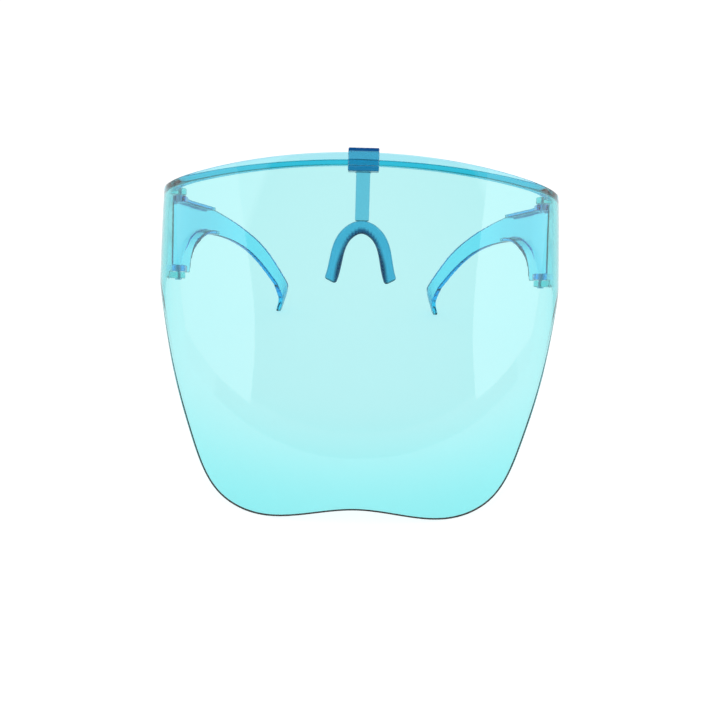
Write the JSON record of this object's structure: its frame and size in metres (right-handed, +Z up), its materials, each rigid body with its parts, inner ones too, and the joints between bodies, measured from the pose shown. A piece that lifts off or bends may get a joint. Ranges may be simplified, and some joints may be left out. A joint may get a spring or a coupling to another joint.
{
  "type": "face shield glasses",
  "caption": "Clear blue wrap-round face shield worn like glasses, with folding temples, a clip-on nose bar and a soft nose pad.",
  "frame": {"origin": "middle of the rectangle on which the shield stands, on the surface under the visor's lower edge and the temple tips", "axes": "+X to the wearer's left, across the face; +Y back from the visor towards the temple tips; +Z up, with the shield leaning back on its temples"},
  "size_m": [0.1732, 0.2005, 0.1372],
  "materials": {
    "visor_blue": "clear aqua-blue polycarbonate, polished",
    "temple_blue": "clear sky-blue polycarbonate, polished",
    "bar_blue": "clear blue moulded plastic",
    "pad_blue": "clear blue soft silicone, satin",
    "pin_steel": "small headed steel pin"
  },
  "bodies": {
    "shield": {"visor": "visor_blue", "nose_bar": "bar_blue", "nose_pad": "pad_blue", "left_upper_pin": "pin_steel", "left_lower_pin": "pin_steel", "right_upper_pin": "pin_steel", "right_lower_pin": "pin_steel"},
    "left_arm": {"left_temple": "temple_blue"},
    "right_arm": {"right_temple": "temple_blue"}
  },
  "joints": [
    {"name": "right_temple_fold", "type": "hinge", "parent": "shield", "child": "right_arm", "pos_m": [-0.0808, -0.00359, 0.08474], "axis": [0, -0.4389, -0.8986], "range_deg": [0, 88]},
    {"name": "left_temple_fold", "type": "hinge", "parent": "shield", "child": "left_arm", "pos_m": [0.0808, -0.00359, 0.08474], "axis": [0, 0.4389, 0.8986], "range_deg": [0, 72]}
  ]
}
